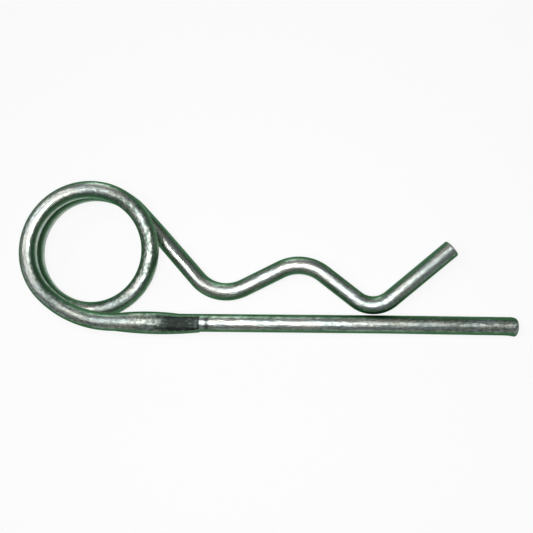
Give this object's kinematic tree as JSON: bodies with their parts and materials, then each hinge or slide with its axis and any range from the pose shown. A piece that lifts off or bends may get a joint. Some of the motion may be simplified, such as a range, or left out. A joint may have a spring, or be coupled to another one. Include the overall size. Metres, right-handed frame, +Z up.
{
  "type": "hitch r clip pin",
  "caption": "Round spring wire bent into a straight leg, a close coil with an open eye and a wavy leg, which springs over a cross-drilled pin and keeps it in its hole.",
  "frame": {"origin": "middle of the clip's box, at the surface that it lies on", "axes": "+X along the straight leg towards its tip, +Y from the straight leg across the coil, +Z up"},
  "size_m": [0.1116, 0.0358, 0.0113],
  "materials": {
    "zinc_plated_wire": "bright zinc plating on drawn spring wire, semi-gloss, with fine lines along the wire"
  },
  "bodies": {
    "root": {"clip_wire": "zinc_plated_wire"}
  },
  "joints": []
}
